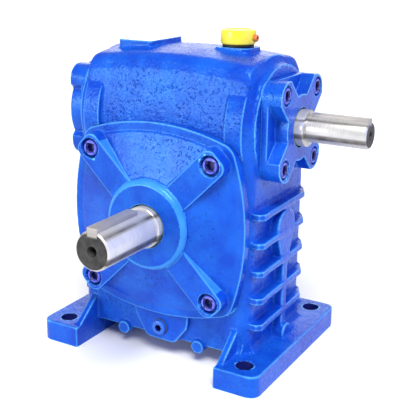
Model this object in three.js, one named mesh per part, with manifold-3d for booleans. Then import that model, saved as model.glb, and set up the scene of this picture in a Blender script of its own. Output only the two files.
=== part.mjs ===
// Worm gearbox, size 80: a cast housing on two feet, a worm shaft across the top and a
// wheel shaft below it, with covers, seals, tapered roller bearings, keys, plugs and screws.
// Millimetres, +Z up. X runs along the worm (the input end is +X), the output end faces -Y,
// and z = 0 is the plane that the feet stand on.

import * as THREE from "three";
import { mergeVertices } from "three/addons/utils/BufferGeometryUtils.js";
import Module from "manifold-3d";

const wasm = await Module();
wasm.setup();

// ---------------------------------------------------------------- driving dimensions
const CENTRE_DISTANCE = 80; // worm axis above wheel axis
const WHEEL_Z = 124.2; // wheel axis above the base
const WORM_Z = WHEEL_Z + CENTRE_DISTANCE;
const GAP = 0.25; // between pieces that seat on each other

const BODY_X = 84; // half length of the casting's walls
const BODY_Y = 52; // half depth, where the wheel covers seat
const BELLY_Z = 17; // underside of the casting between the feet
const TOP_Z = 264; // crown of the arched top
const CROWN_R = 560; // arch of the top along X
const FOOT = { x0: 69, x1: 108, y: 84, z: 18.5, corner: 9 };
const FOOT_HOLE = { x: 89.75, y: 68, r: 7.5 };
const CHAMBER_R = 70.3; // wheel chamber, open through front and back
const TUNNEL_R = 31.25; // worm tunnel, open through both ends
const BOSS = { r: 49.5, x: 83.8 }; // round end bosses that carry the worm covers
const FIN_Z = [43.4, 66.6, 90, 114, 138.4]; // cooling fins on both end walls
const FIN_X = 93;
const DRAIN = { x: 2, z: 27.2 };
const PLUG_PAD = { x: 42, z: 265, halfX: 15.5, halfY: 13 };
const LIFT_PAD = { x: -43.3, z: 267.2, halfX: 16.3, halfY: 25 };

const COVER_SCREW = 57.3; // wheel cover screws, each side of the axis
const COVER_FACE = 73; // arms of the wheel covers, from the wheel's middle plane
const COVER_RIM = 60.5;
const COVER_HUB = 78;
const COVER_ARM = { width: 23.5, root: 25.5, reach: 91, corner: 8 };
const REAR_COVER = { half: 75, corner: 18, hub: 73 };
const WORM_SCREW = 29.4; // worm cover screws, each side of the axis
const WORM_FACE = 101.3; // lugs of the worm covers, from the worm's middle
const WORM_RECESS = 90; // floor between the lugs of the input cover
const WORM_COVER = { half: 40, corner: 13, lug: 24, hub: 27 };

const OUTPUT = { r: 16, seat: 17.5, end: 148, shoulder: 83, keyW: 10, keyTop: 18.7, keyLen: 54 };
const INPUT = { r: 11, seat: 15, end: 159, shoulder: 108.5, keyW: 7, keyTop: 13, keyLen: 48 };

const MODULE = 4;
const TEETH = 30; // single-start worm, so the ratio is 30 to 1
const WORM_PITCH_R = 20;
const WHEEL_PITCH_R = (MODULE * TEETH) / 2;
const LEAD = Math.PI * MODULE;
const BACKLASH = 0.25; // taken off each flank, on worm and wheel alike
const FLANK = THREE.MathUtils.degToRad(20);
const HAND = 1; // the way the wheel's teeth lean, to run with a right-hand thread

const OUTPUT_BEARING = { bore: 17.5, outer: 36, at: 27.5 };
const WORM_BEARING = { bore: 15, outer: 31, at: 61.5 };
const ROLLERS = 8;
const SCREW = { head: 6.5, headH: 8, shank: 3.9, length: 19, hex: 3.5 };
const SCREW_HOLE = SCREW.shank + 0.7;

// Facets round a circle, by the size of the circle.
const ROUND = { large: 28, middle: 24, shaft: 16, small: 10, hole: 6 };

// ---------------------------------------------------------------- materials
const finish = {
  paint: { color: 0x2064e6, roughness: 0.35, metalness: 0.0 },
  screw: { color: 0x3350c8, roughness: 0.4, metalness: 0.3 },
  steel: { color: 0xc9cacc, roughness: 0.28, metalness: 1.0 },
  ringSteel: { color: 0xb4b7ba, roughness: 0.2, metalness: 1.0 },
  bronze: { color: 0xb98a45, roughness: 0.35, metalness: 1.0 },
  castIron: { color: 0x5a5c60, roughness: 0.7, metalness: 0.6 },
  paper: { color: 0x4b4a44, roughness: 0.9, metalness: 0.0 },
  rubber: { color: 0x17181a, roughness: 0.75, metalness: 0.0 },
  yellow: { color: 0xf4e02c, roughness: 0.45, metalness: 0.0 },
  vent: { color: 0xc8501e, roughness: 0.5, metalness: 0.0 },
};

// ---------------------------------------------------------------- shape helpers
function positionsOnly(geometry) {
  const flat = geometry.index ? geometry.toNonIndexed() : geometry;
  return new THREE.BufferGeometry().setAttribute("position", flat.getAttribute("position"));
}

function toSolid(geometry) {
  const merged = mergeVertices(positionsOnly(geometry), 1e-3);
  const triVerts = new Uint32Array(merged.index.array);
  const vertProperties = new Float32Array(merged.attributes.position.array);
  return new wasm.Manifold(new wasm.Mesh({ numProp: 3, vertProperties, triVerts }));
}

function toGeometry(solid) {
  const { vertProperties, triVerts } = solid.getMesh();
  const indexed = new THREE.BufferGeometry();
  indexed.setAttribute("position", new THREE.BufferAttribute(vertProperties, 3));
  indexed.setIndex(new THREE.BufferAttribute(triVerts, 1));
  const faceted = indexed.toNonIndexed();
  faceted.computeVertexNormals();
  return faceted;
}

// One geometry: the pieces joined, less the cuts.
function build(pieces, cuts = []) {
  let solid = pieces.map(toSolid).reduce((a, b) => a.add(b));
  for (const cut of cuts) solid = solid.subtract(toSolid(cut));
  return toGeometry(solid);
}

function meet(...pieces) {
  return toGeometry(pieces.map(toSolid).reduce((a, b) => a.intersect(b)));
}

// A closed [radius, height] outline turned about Z.
function turned(outline, segments = ROUND.middle) {
  let area = 0;
  outline.forEach(([r, h], i) => {
    const [r2, h2] = outline[(i + 1) % outline.length];
    area += r * h2 - r2 * h;
  });
  const points = (area > 0 ? outline : [...outline].reverse()).map(([r, h]) => new THREE.Vector2(r, h));
  const start = points.findIndex((p, i) => {
    const before = points[(i + points.length - 1) % points.length];
    return p.x === 0 && before.x === 0;
  });
  const loop = start < 0 ? [...points, points[0]] : [...points.slice(start), ...points.slice(0, start)];
  return new THREE.LatheGeometry(loop, segments).rotateX(Math.PI / 2);
}

// A rod along Z between two heights.
function rod(r, z0, z1, segments = ROUND.middle) {
  const height = z1 - z0;
  return new THREE.CylinderGeometry(r, r, height, segments)
    .rotateX(Math.PI / 2)
    .translate(0, 0, z0 + height / 2);
}

function block(x0, x1, y0, y1, z0, z1) {
  return new THREE.BoxGeometry(x1 - x0, y1 - y0, z1 - z0)
    .translate((x0 + x1) / 2, (y0 + y1) / 2, (z0 + z1) / 2);
}

// A shape in XY pushed along Z from z0 to z1.
function plate(shape, z0, z1, curveSegments = 3) {
  const settings = { depth: z1 - z0, bevelEnabled: false, curveSegments };
  return new THREE.ExtrudeGeometry(shape, settings).translate(0, 0, z0);
}

function polygon(points) {
  return new THREE.Shape(points.map(([x, y]) => new THREE.Vector2(x, y)));
}

function roundedRectangle(hx, hy, r) {
  const shape = new THREE.Shape();
  shape.absarc(hx - r, hy - r, r, 0, Math.PI / 2);
  shape.absarc(-hx + r, hy - r, r, Math.PI / 2, Math.PI);
  shape.absarc(-hx + r, -hy + r, r, Math.PI, 1.5 * Math.PI);
  shape.absarc(hx - r, -hy + r, r, 1.5 * Math.PI, 2 * Math.PI);
  return shape;
}

// A shape pushed up through stations of [z, x scale, y scale].
function tapered(shape, stations, curveSegments = 3) {
  const steps = stations.length - 1;
  const settings = { depth: steps, steps, bevelEnabled: false, curveSegments };
  const geometry = new THREE.ExtrudeGeometry(shape, settings);
  const position = geometry.getAttribute("position");
  for (let i = 0; i < position.count; i += 1) {
    const [z, sx, sy] = stations[Math.round(position.getZ(i))];
    position.setXYZ(i, position.getX(i) * sx, position.getY(i) * sy, z);
  }
  return geometry;
}

function placed(geometry, x, y, z = 0) {
  return geometry.clone().translate(x, y, z);
}

// The four corners of a square, each side of the axis.
const CORNERS = [
  [-1, 1],
  [1, 1],
  [1, -1],
  [-1, -1],
];

// A bar with round ends, from one point to another, between two heights.
function bar(from, to, width, z0, z1) {
  const length = Math.hypot(to[0] - from[0], to[1] - from[1]);
  const shape = new THREE.Shape();
  shape.absarc(length, 0, width / 2, -Math.PI / 2, Math.PI / 2);
  shape.absarc(0, 0, width / 2, Math.PI / 2, 1.5 * Math.PI);
  return plate(shape, z0, z1, 4)
    .rotateZ(Math.atan2(to[1] - from[1], to[0] - from[0]))
    .translate(from[0], from[1], 0);
}

// A blunt-ended arm that points at 45 degrees into the given corner, with its root under the hub.
function arm(sx, sy, z0, z1) {
  const { width, root, reach, corner } = COVER_ARM;
  const shape = new THREE.Shape();
  shape.moveTo(root, -width / 2);
  shape.absarc(reach - corner, corner - width / 2, corner, -Math.PI / 2, 0);
  shape.absarc(reach - corner, width / 2 - corner, corner, 0, Math.PI / 2);
  shape.lineTo(root, width / 2);
  return plate(shape, z0, z1).rotateZ(Math.atan2(sy, sx));
}

// Turns a side's own frame (+Z outwards, +Y up) into the casting's frame.
function facing(geometry, angle, height) {
  return geometry.clone().rotateX(Math.PI / 2).rotateZ(angle).translate(0, 0, height);
}

const FRONT = 0;
const RIGHT = Math.PI / 2;
const BACK = Math.PI;
const LEFT = -Math.PI / 2;

// ---------------------------------------------------------------- housing
// Walls with rounded corners that lean in above the worm, under a crowned top.
function bodyShell() {
  const walls = tapered(roundedRectangle(BODY_X, BODY_Y, 9), [
    [BELLY_Z, 1, 1],
    [165, 1, 1],
    [208, 0.976, 0.996],
    [236, 0.955, 0.94],
    [TOP_Z + 2, 0.925, 0.82],
  ]);
  const halfDepth = [0, 24, 38, 43, 60];
  const drop = [0, 1.5, 3.9, 7, 60];
  const crown = halfDepth.map((y, i) => [CROWN_R - drop[i], y]);
  const lower = crown.slice(1).reverse().map(([r, y]) => [r, -y]);
  const barrel = turned([[0, -60], ...lower, ...crown, [0, 60]], 96)
    .rotateX(Math.PI / 2)
    .translate(0, 0, TOP_Z - CROWN_R);
  const ends = tapered(roundedRectangle(BODY_X, 70, 2), [
    [0, 1, 1],
    [250, 1, 1],
    [258, 0.93, 1],
    [TOP_Z + 2, 0.72, 1],
  ]);
  return meet(walls, barrel, ends);
}

// A triangular web from the wall down to the top of a foot.
function footWeb(side, front) {
  const shape = polygon([
    [BODY_Y - 6, FOOT.z - 2],
    [77, FOOT.z - 2],
    [77, FOOT.z + 0.8],
    [BODY_Y - 0.5, 40],
    [BODY_Y - 6, 40],
  ]);
  const web = plate(shape, 0, 6)
    .rotateX(Math.PI / 2)
    .rotateZ(Math.PI / 2)
    .translate(side > 0 ? FOOT.x0 : -FOOT.x0 - 6, 0, 0);
  if (front > 0) return web;
  return web.rotateZ(Math.PI).translate(side * (2 * FOOT.x0 + 6), 0, 0);
}

// Concave fillet strip along X, under an edge of the front or back wall.
function filletShape(r) {
  const shape = new THREE.Shape();
  shape.moveTo(-2, -2);
  shape.lineTo(r, -2);
  shape.lineTo(r, 0);
  shape.absarc(r, r, r, 1.5 * Math.PI, Math.PI, true);
  shape.lineTo(-2, r);
  return shape;
}

function foot(side) {
  const { x0, x1, y, z, corner } = FOOT;
  const plan = new THREE.Shape();
  plan.moveTo(x0, -y);
  plan.lineTo(x1 - corner, -y);
  plan.absarc(x1 - corner, corner - y, corner, -Math.PI / 2, 0);
  plan.absarc(x1 - corner, y - corner, corner, 0, Math.PI / 2);
  plan.lineTo(x0, y);
  const slab = plate(plan, 0, z, 4);
  if (side < 0) slab.rotateZ(Math.PI);
  return [slab, footWeb(side, -1), footWeb(side, 1)];
}

// Fillets where the corner columns and the end wall stand on the foot.
function footFillets(side) {
  const wall = plate(filletShape(7), -BODY_Y + 6, BODY_Y - 6).rotateX(Math.PI / 2);
  const column = plate(filletShape(9), 76, BODY_X - 5);
  if (side < 0) wall.rotateZ(Math.PI);
  const pieces = [placed(wall, side * BODY_X, 0, FOOT.z)];
  [-1, 1].forEach((end) => {
    const flare = column.clone().rotateX(Math.PI / 2).rotateZ(Math.PI / 2);
    if (end < 0) flare.rotateZ(Math.PI).translate(BODY_X - 5 + 76, 0, 0);
    flare.translate(side > 0 ? 0 : -(BODY_X - 5 + 76), end * BODY_Y, FOOT.z);
    pieces.push(flare);
  });
  return pieces;
}

// Five fins, a round pad and the rib that carries it down to the foot, in the frame of an end wall.
function endWallRibs() {
  const root = BODY_X - 5;
  const finPlan = polygon([
    [-BODY_Y + 3, root],
    [BODY_Y - 6, root],
    [BODY_Y - 6, BODY_X + 2],
    [BODY_Y - 18, FIN_X - 1],
    [-BODY_Y + 3, FIN_X],
  ]);
  const pieces = FIN_Z.map((z) => plate(finPlan, -2.4, 2.4).rotateX(Math.PI / 2).translate(0, z, 0));
  const padZ = FIN_Z[3] + 3;
  const shield = polygon([
    [-16.4, padZ - 4],
    [-4, 84],
    [4, 84],
    [16.4, padZ - 4],
  ]);
  pieces.push(rod(17, root, FIN_X - 1, ROUND.shaft).translate(0, padZ, 0));
  pieces.push(plate(shield, root, FIN_X - 1));
  pieces.push(block(-4, 4, FOOT.z - 1, padZ, root, FIN_X - 1));
  pieces.push(bar([0, FOOT.z - 1], [0, FOOT.z + 3], 18, root, FIN_X + 3).scale(0.9, 1, 1));
  return pieces;
}

// The outline of a worm cover, a square with well rounded corners.
function wormOutline(offset, z0, z1) {
  const { half, corner } = WORM_COVER;
  return plate(roundedRectangle(half + offset, half + offset, corner + offset), z0, z1, 3);
}

function makeHousing() {
  const solidPieces = [bodyShell()];
  for (const side of [-1, 1]) solidPieces.push(...foot(side), ...footFillets(side));
  for (const angle of [RIGHT, LEFT]) {
    const ribs = endWallRibs().map((piece) => facing(piece, angle, 0));
    const seat = [rod(BOSS.r, 60, BOSS.x, ROUND.large), wormOutline(0, 70, BOSS.x)];
    solidPieces.push(...ribs, ...seat.map((piece) => facing(piece, angle, WORM_Z)));
  }
  for (const [pad, corner] of [[PLUG_PAD, 6], [LIFT_PAD, 3]])
    solidPieces.push(placed(plate(roundedRectangle(pad.halfX, pad.halfY, corner), 250, pad.z), pad.x, 0));
  const drainPad = polygon([
    [-27, 52],
    [-24, 34],
    [-15, 15.5],
    [18, 14],
    [28, 30],
    [31, 52],
  ]);
  solidPieces.push(facing(plate(drainPad, 40, BODY_Y + 4.5), FRONT, 0));
  for (const angle of [FRONT, BACK])
    for (const x of [-38, 38])
      solidPieces.push(facing(placed(rod(5.6, 40, BODY_Y + 3.5, ROUND.small), x, 16), angle, 0));

  const cuts = [
    facing(rod(CHAMBER_R, -60, 60, ROUND.large), FRONT, WHEEL_Z),
    facing(rod(TUNNEL_R, -95, 95), RIGHT, WORM_Z),
    block(-60, 60, -43, 43, 23, WHEEL_Z),
    block(-52, 52, -34, 34, WORM_Z, 247),
    placed(rod(10.3, 240, 270, ROUND.small), PLUG_PAD.x, 0),
    facing(placed(rod(5.2, 40, 60, ROUND.small), DRAIN.x, DRAIN.z), FRONT, 0),
    facing(plate(bulgedSquare(0.8), BODY_Y, BODY_Y + 10), FRONT, WHEEL_Z),
  ];
  const footHole = rod(FOOT_HOLE.r, -5, FOOT.z + 5, ROUND.small);
  for (const [sx, sy] of CORNERS) cuts.push(placed(footHole, sx * FOOT_HOLE.x, sy * FOOT_HOLE.y));
  for (const [sx, sy] of CORNERS) {
    const wheelSide = placed(rod(SCREW_HOLE, 40, 60, ROUND.hole), sx * COVER_SCREW, sy * COVER_SCREW);
    const wormSide = placed(rod(SCREW_HOLE, 72.5, 100, ROUND.hole), sx * WORM_SCREW, sy * WORM_SCREW);
    for (const angle of [FRONT, BACK]) cuts.push(facing(wheelSide, angle, WHEEL_Z));
    for (const angle of [RIGHT, LEFT]) cuts.push(facing(wormSide, angle, WORM_Z));
  }
  return build(solidPieces, cuts);
}

// ---------------------------------------------------------------- wheel covers
// A square with bulging sides and round corners, grown or shrunk by an offset.
function bulgedSquare(offset = 0) {
  const sideR = 195 + offset;
  const sideCentre = 112; // beyond the axis, so each side is 83 from it
  const cornerR = 15 + offset;
  const corner = 58.3;
  const meets = Math.atan2(corner, corner + sideCentre);
  const points = [];
  for (let quarter = 0; quarter < 4; quarter += 1) {
    const turn = (quarter * Math.PI) / 2;
    const place = (x, y) =>
      points.push([x * Math.cos(turn) - y * Math.sin(turn), x * Math.sin(turn) + y * Math.cos(turn)]);
    for (let i = -2; i <= 2; i += 1) {
      const angle = (i / 2) * meets;
      place(sideR * Math.cos(angle) - sideCentre, sideR * Math.sin(angle));
    }
    for (let i = 1; i <= 2; i += 1) {
      const angle = meets + (i / 3) * (Math.PI / 2 - 2 * meets);
      place(corner + cornerR * Math.cos(angle), corner + cornerR * Math.sin(angle));
    }
  }
  return polygon(points);
}

// The rear cover is a smaller square with round corners.
function flangeShape(open, offset) {
  if (open) return bulgedSquare(offset);
  return roundedRectangle(REAR_COVER.half + offset, REAR_COVER.half + offset, REAR_COVER.corner + offset);
}

// The round middle of a wheel cover, from the spigot in the chamber out to the hub.
function coverCore(top, dish) {
  const spigot = CHAMBER_R - 0.3;
  const outline = [
    [36.25, 26],
    [44, 26],
    [44, 51],
    [60, 51],
    [60, 44],
    [spigot, 44],
    [spigot, BODY_Y + 4],
    ...dish,
    [38, top - 3],
    [35.4, top],
    [0, top],
    [0, 46.1],
    [36.25, 46.1],
  ];
  return turned(outline, ROUND.large);
}

// The output cover has a dished face and four arms; the rear one is plain.
function makeWheelCover(open) {
  const base = BODY_Y + 1;
  const top = open ? COVER_HUB : REAR_COVER.hub;
  const seat = open ? COVER_FACE - 8.8 : COVER_RIM;
  const pieces = [plate(flangeShape(open, 0), base, COVER_RIM)];
  const cuts = [rod(30, 40, open ? 63 : 64)];
  if (open) {
    const rings = [
      [54, 1, 1],
      [60.6, 1, 1],
      [71, 0.5, 0.5],
    ];
    pieces.push(coverCore(top, [[38, BODY_Y + 4]]), tapered(bulgedSquare(-8), rings));
    cuts.push(rod(27.8, 60, 74.2), rod(18.6, 70, top + 5));
  } else {
    pieces.push(coverCore(top, [[62, COVER_RIM], [38, 66]]));
  }
  for (const [sx, sy] of CORNERS) {
    const [x, y] = [sx * COVER_SCREW, sy * COVER_SCREW];
    if (open) {
      pieces.push(arm(sx, sy, 54, COVER_FACE));
      cuts.push(placed(rod(9, seat, 80, ROUND.small), x, y));
    }
    cuts.push(placed(rod(SCREW_HOLE, 40, 80, ROUND.hole), x, y));
  }
  return build(pieces, cuts);
}

function makeWheelGasket(open) {
  const [z0, z1] = [BODY_Y + GAP, BODY_Y + 1 - GAP];
  const cuts = [rod(CHAMBER_R, 40, 60, ROUND.large)];
  for (const [sx, sy] of CORNERS)
    cuts.push(placed(rod(SCREW_HOLE, 40, 60, ROUND.hole), sx * COVER_SCREW, sy * COVER_SCREW));
  return build([plate(flangeShape(open, -0.4), z0, z1)], cuts);
}

// ---------------------------------------------------------------- worm covers
// Four lugs carry the screws; the input cover is deeply recessed between them.
function makeWormCover(open) {
  const base = BOSS.x + 0.9;
  const bars = CORNERS.map(([sx, sy]) => bar([0, 0], [sx * 34, sy * 34], WORM_COVER.lug, base, WORM_FACE));
  const pieces = [
    wormOutline(0, base, WORM_RECESS),
    ...bars.map((piece) => meet(piece, wormOutline(0, base, WORM_FACE))),
    rod(open ? WORM_COVER.hub : 41.5, base, open ? WORM_FACE : WORM_FACE - 1.3),
    rod(TUNNEL_R - 0.3, WORM_BEARING.at + 16.8, base + 1),
  ];
  const cuts = [];
  if (open) cuts.push(rod(23.8, 70, 98.2), rod(16.4, 90, 110));
  else cuts.push(rod(23.8, 70, 92));
  for (const [sx, sy] of CORNERS) {
    const [x, y] = [sx * WORM_SCREW, sy * WORM_SCREW];
    cuts.push(placed(rod(8.2, 93, 110, ROUND.small), x, y));
    cuts.push(placed(rod(SCREW_HOLE, 80, 110, ROUND.hole), x, y));
  }
  return build(pieces, cuts);
}

function makeWormGasket() {
  const cuts = [rod(TUNNEL_R, 70, 100)];
  for (const [sx, sy] of CORNERS)
    cuts.push(placed(rod(SCREW_HOLE, 70, 100, ROUND.hole), sx * WORM_SCREW, sy * WORM_SCREW));
  return build([wormOutline(-0.3, BOSS.x + GAP, BOSS.x + 0.9 - GAP)], cuts);
}

// ---------------------------------------------------------------- bearings and seals
// Tapered roller bearing along Z from its inner face, t = 0 where the rollers are largest.
function bearingSizes({ bore, outer }) {
  const depth = outer - bore;
  const cupLarge = outer - 0.13 * depth;
  const coneLarge = bore + 0.384 * depth;
  const cupAt = (t) => cupLarge - t * 0.249;
  const coneAt = (t) => coneLarge - t * 0.194;
  return { cupAt, coneAt };
}

function makeCup(bearing) {
  const { cupAt } = bearingSizes(bearing);
  const t0 = bearing.at + 1.5;
  const outline = [
    [cupAt(0), t0],
    [bearing.outer, t0],
    [bearing.outer, t0 + 15],
    [cupAt(15), t0 + 15],
  ];
  return turned(outline);
}

function makeCone(bearing) {
  const { coneAt } = bearingSizes(bearing);
  const t0 = bearing.at + 1.5;
  const hole = bearing.bore + GAP;
  const outline = [
    [hole, t0 - 1.5],
    [coneAt(0) + 2, t0 - 1.5],
    [coneAt(0) + 2, t0 + 1],
    [coneAt(1), t0 + 1],
    [coneAt(15.5), t0 + 15.5],
    [hole, t0 + 15.5],
  ];
  return turned(outline, ROUND.shaft);
}

// Comb cage with its rollers: one ring, with the rollers held on its inner side.
function makeRollers(bearing) {
  const { cupAt, coneAt } = bearingSizes(bearing);
  const t0 = bearing.at + 1.5;
  const ends = [2.4, 13.4];
  const middle = ends.map((t) => (cupAt(t) + coneAt(t)) / 2);
  const radius = ends.map((t) => (cupAt(t) - coneAt(t)) / 2 - 0.5);
  const tilt = Math.atan2(middle[0] - middle[1], ends[1] - ends[0]);
  const length = Math.hypot(ends[1] - ends[0], middle[0] - middle[1]);
  const roller = new THREE.CylinderGeometry(radius[1], radius[0], length, 5)
    .rotateX(Math.PI / 2)
    .rotateY(-tilt)
    .translate((middle[0] + middle[1]) / 2, 0, t0 + (ends[0] + ends[1]) / 2);
  const pieces = [];
  for (let i = 0; i < ROLLERS; i += 1) pieces.push(roller.clone().rotateZ((2 * Math.PI * i) / ROLLERS));
  const [inner, outer] = [middle[0] - 0.5, middle[0] + 1.7];
  const [near, far] = [t0 + 1, t0 + 3.4];
  pieces.push(turned([[inner, near], [outer, near], [outer, far], [inner, far]], ROUND.shaft));
  return build(pieces);
}

// Shaft seal: a rubber ring with a lip that reaches in to the shaft.
function makeSeal(shaft, outer, w0, w1) {
  const lip = shaft + 0.3;
  const outline = [
    [outer - GAP, w0],
    [outer - GAP, w1],
    [lip, w1],
    [lip + 2, w1 - 3],
    [lip + 2, w0],
  ];
  return turned(outline);
}

// ---------------------------------------------------------------- shafts, worm and wheel
// The keyway is cut from the end face; the key fills it, proud of the shaft.
function keyBlock(shaft, clearance) {
  const half = shaft.keyW / 2 + clearance;
  const floor = shaft.r * 0.69 - clearance;
  const tall = clearance > 0 ? shaft.r + 5 : shaft.keyTop;
  const end = clearance > 0 ? shaft.end + 5 : shaft.end - 0.6;
  return block(-half, half, floor, tall, shaft.end - shaft.keyLen - clearance, end);
}

function makeOutputShaft() {
  const s = OUTPUT;
  const body = turned(
    [
      [0, -46],
      [s.seat - 1, -46],
      [s.seat, -45],
      [s.seat, -27.4],
      [23, -27.4],
      [23, -22.6],
      [19, -22.6],
      [19, 22.3],
      [s.seat, 22.3],
      [s.seat, s.shoulder - 0.8],
      [s.seat - 0.8, s.shoulder],
      [s.r, s.shoulder],
      [s.r, s.end - 2],
      [s.r - 2, s.end],
      [0, s.end],
    ],
    ROUND.shaft,
  );
  const wheelKeyway = block(-5.2, 5.2, 14, 30, -20, 24);
  const centre = turned([[0, s.end - 12], [2.6, s.end - 10], [2.6, s.end - 4], [5, s.end + 0.5], [0, s.end + 0.5]], ROUND.small);
  return build([body], [keyBlock(s, GAP), wheelKeyway, centre]);
}

// The trapezoid of the thread, wrapped on its helix about Z.
function wormThread(turns, stepsPerTurn) {
  const half = (r) => LEAD / 4 - BACKLASH - (r - WORM_PITCH_R) * Math.tan(FLANK);
  const [root, tip] = [14.6, WORM_PITCH_R + MODULE];
  const section = polygon([
    [root, -half(root)],
    [tip, -half(tip)],
    [tip, half(tip)],
    [root, half(root)],
  ]);
  const steps = Math.round(turns * stepsPerTurn);
  const settings = { depth: 1, steps, bevelEnabled: false };
  const geometry = new THREE.ExtrudeGeometry(section, settings);
  const position = geometry.getAttribute("position");
  const index = [];
  for (let i = 0; i < position.count; i += 1) {
    const [r, along, t] = [position.getX(i), position.getY(i), position.getZ(i)];
    const angle = (t - 0.5) * turns * 2 * Math.PI;
    position.setXYZ(i, r * Math.sin(angle), -r * Math.cos(angle), along + (angle / (2 * Math.PI)) * LEAD);
    index.push(i % 3 === 0 ? i : i % 3 === 1 ? i + 1 : i - 1);
  }
  geometry.setIndex(index);
  return geometry;
}

function makeWormShaft() {
  const s = INPUT;
  const seat = WORM_BEARING.at - 0.3;
  const body = turned(
    [
      [0, -80],
      [s.seat - 1, -80],
      [s.seat, -79],
      [s.seat, -seat],
      [19, -seat],
      [19, -seat + 8],
      [15.2, -46],
      [15.2, 46],
      [19, seat - 8],
      [19, seat],
      [s.seat, seat],
      [s.seat, s.shoulder - 0.8],
      [s.seat - 0.8, s.shoulder],
      [s.r, s.shoulder],
      [s.r, s.end - 1.5],
      [s.r - 1.5, s.end],
      [0, s.end],
    ],
    ROUND.shaft,
  );
  const centre = turned([[0, s.end - 10], [2, s.end - 8], [2, s.end - 3], [3.8, s.end + 0.5], [0, s.end + 0.5]], ROUND.small);
  return build([body, wormThread(4.2, 12)], [keyBlock(s, GAP), centre]);
}

// Outline of the toothed rim, with a tooth space straight up, and involute flanks.
function gearOutline() {
  const baseR = WHEEL_PITCH_R * Math.cos(FLANK);
  const rootR = WHEEL_PITCH_R - 1.2 * MODULE;
  const tipR = WHEEL_PITCH_R + MODULE;
  const involute = (r) => {
    const pressure = Math.acos(Math.min(1, baseR / r));
    return Math.tan(pressure) - pressure;
  };
  const halfAtPitch = (Math.PI * MODULE) / 4 - BACKLASH;
  const halfAngle = (r) =>
    halfAtPitch / WHEEL_PITCH_R + involute(WHEEL_PITCH_R) - involute(Math.max(r, baseR));
  const radii = [rootR, WHEEL_PITCH_R, tipR];
  const points = [];
  for (let tooth = 0; tooth < TEETH; tooth += 1) {
    const middle = Math.PI / 2 + ((tooth + 0.5) * 2 * Math.PI) / TEETH;
    const side = (r, sign) => {
      const angle = middle + sign * halfAngle(r);
      points.push([r * Math.cos(angle), r * Math.sin(angle)]);
    };
    radii.forEach((r) => side(r, -1));
    [...radii].reverse().forEach((r) => side(r, 1));
  }
  return polygon(points);
}

function makeWheelRim() {
  const outline = gearOutline();
  const hole = new THREE.Path();
  hole.absarc(0, 0, 46, 0, 2 * Math.PI, true);
  outline.holes.push(hole);
  const width = 15;
  const settings = { depth: 2 * width, bevelEnabled: false, curveSegments: 16 };
  const geometry = new THREE.ExtrudeGeometry(outline, settings).translate(0, 0, -width);
  const position = geometry.getAttribute("position");
  const slant = LEAD / (2 * Math.PI * WORM_PITCH_R) / WHEEL_PITCH_R;
  for (let i = 0; i < position.count; i += 1) {
    const [x, y, w] = [position.getX(i), position.getY(i), position.getZ(i)];
    const turn = HAND * slant * w;
    const [c, s] = [Math.cos(turn), Math.sin(turn)];
    position.setXYZ(i, x * c - y * s, x * s + y * c, w);
  }
  return geometry;
}

function makeWheelHub() {
  const half = [
    [19.3, 22],
    [30, 22],
    [30, 7],
    [40, 7],
    [40, 14],
    [45.7, 14],
  ];
  const body = turned([...half, ...half.toReversed().map(([r, w]) => [r, -w])], ROUND.shaft);
  return build([body], [block(-5.2, 5.2, 15, 22.6, -30, 30)]);
}

// ---------------------------------------------------------------- screws and plugs
function makeScrew(under) {
  const { head, headH, shank, length, hex } = SCREW;
  const top = under + headH;
  const body = turned(
    [
      [0, under - length],
      [shank, under - length],
      [shank, under],
      [head, under],
      [head, top],
      [0, top],
    ],
    8,
  );
  return build([body], [rod(hex, top - 4.5, top + 1, 6)]);
}

function makeDrainPlug() {
  const seat = BODY_Y + 4.5 + 1.7;
  const body = turned([[0, 45], [4.8, 45], [4.8, seat], [6.4, seat], [6.4, seat + 2.2], [5.6, seat + 3], [0, seat + 3]], ROUND.small);
  return build([body], [rod(2.9, seat - 3, seat + 5, 6)]);
}

function makeDrainWasher() {
  const seat = BODY_Y + 4.5 + GAP;
  return turned([[5.2, seat], [7.3, seat], [7.3, seat + 1.2], [5.2, seat + 1.2]], ROUND.small);
}

function makeBreatherCap() {
  const z = PLUG_PAD.z + 2.6;
  const outline = [
    [0, 249],
    [9.6, 249],
    [9.6, z],
    [14.3, z],
    [14.6, z + 0.8],
    [14.6, z + 9.6],
    [13.4, z + 11.2],
    [0, z + 11.4],
  ];
  const body = turned(outline, 20);
  return build([body], [rod(2.3, 8, 20, ROUND.hole).rotateY(Math.PI / 2).translate(0, 0, z + 5)]);
}

function makeBreatherSeal() {
  const z = PLUG_PAD.z + GAP;
  const section = [];
  for (let i = 0; i < 6; i += 1) {
    const angle = (i * Math.PI) / 3;
    section.push([11.8 + 1.5 * Math.cos(angle), z + 1 + Math.sin(angle)]);
  }
  return turned(section, ROUND.shaft);
}

function makeVentPin() {
  const z = PLUG_PAD.z + 2.6 + 5;
  return turned([[0, 8.4], [2, 8.4], [2, 14.9], [2.9, 14.9], [2.9, 17], [2.2, 17.6], [0, 17.6]], ROUND.hole)
    .rotateY(Math.PI / 2)
    .translate(0, 0, z);
}

// ---------------------------------------------------------------- assembly
const gearbox = new THREE.Group();

function mesh(name, geometry, look, parent, x = 0, y = 0, z = 0) {
  const piece = new THREE.Mesh(geometry, new THREE.MeshStandardMaterial(finish[look]));
  piece.name = name;
  piece.position.set(x, y, z);
  parent.add(piece);
  return piece;
}

// A frame on one side of the casting: +Z outwards, +Y up, origin on the shaft's axis.
function sideFrame(angle, height) {
  const turn = new THREE.Group();
  turn.rotation.z = angle;
  const frame = new THREE.Group();
  frame.rotation.x = Math.PI / 2;
  frame.position.z = height;
  turn.add(frame);
  gearbox.add(turn);
  return frame;
}

const front = sideFrame(FRONT, WHEEL_Z);
const back = sideFrame(BACK, WHEEL_Z);
const right = sideFrame(RIGHT, WORM_Z);
const left = sideFrame(LEFT, WORM_Z);

mesh("housing", makeHousing(), "paint", gearbox);

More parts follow.
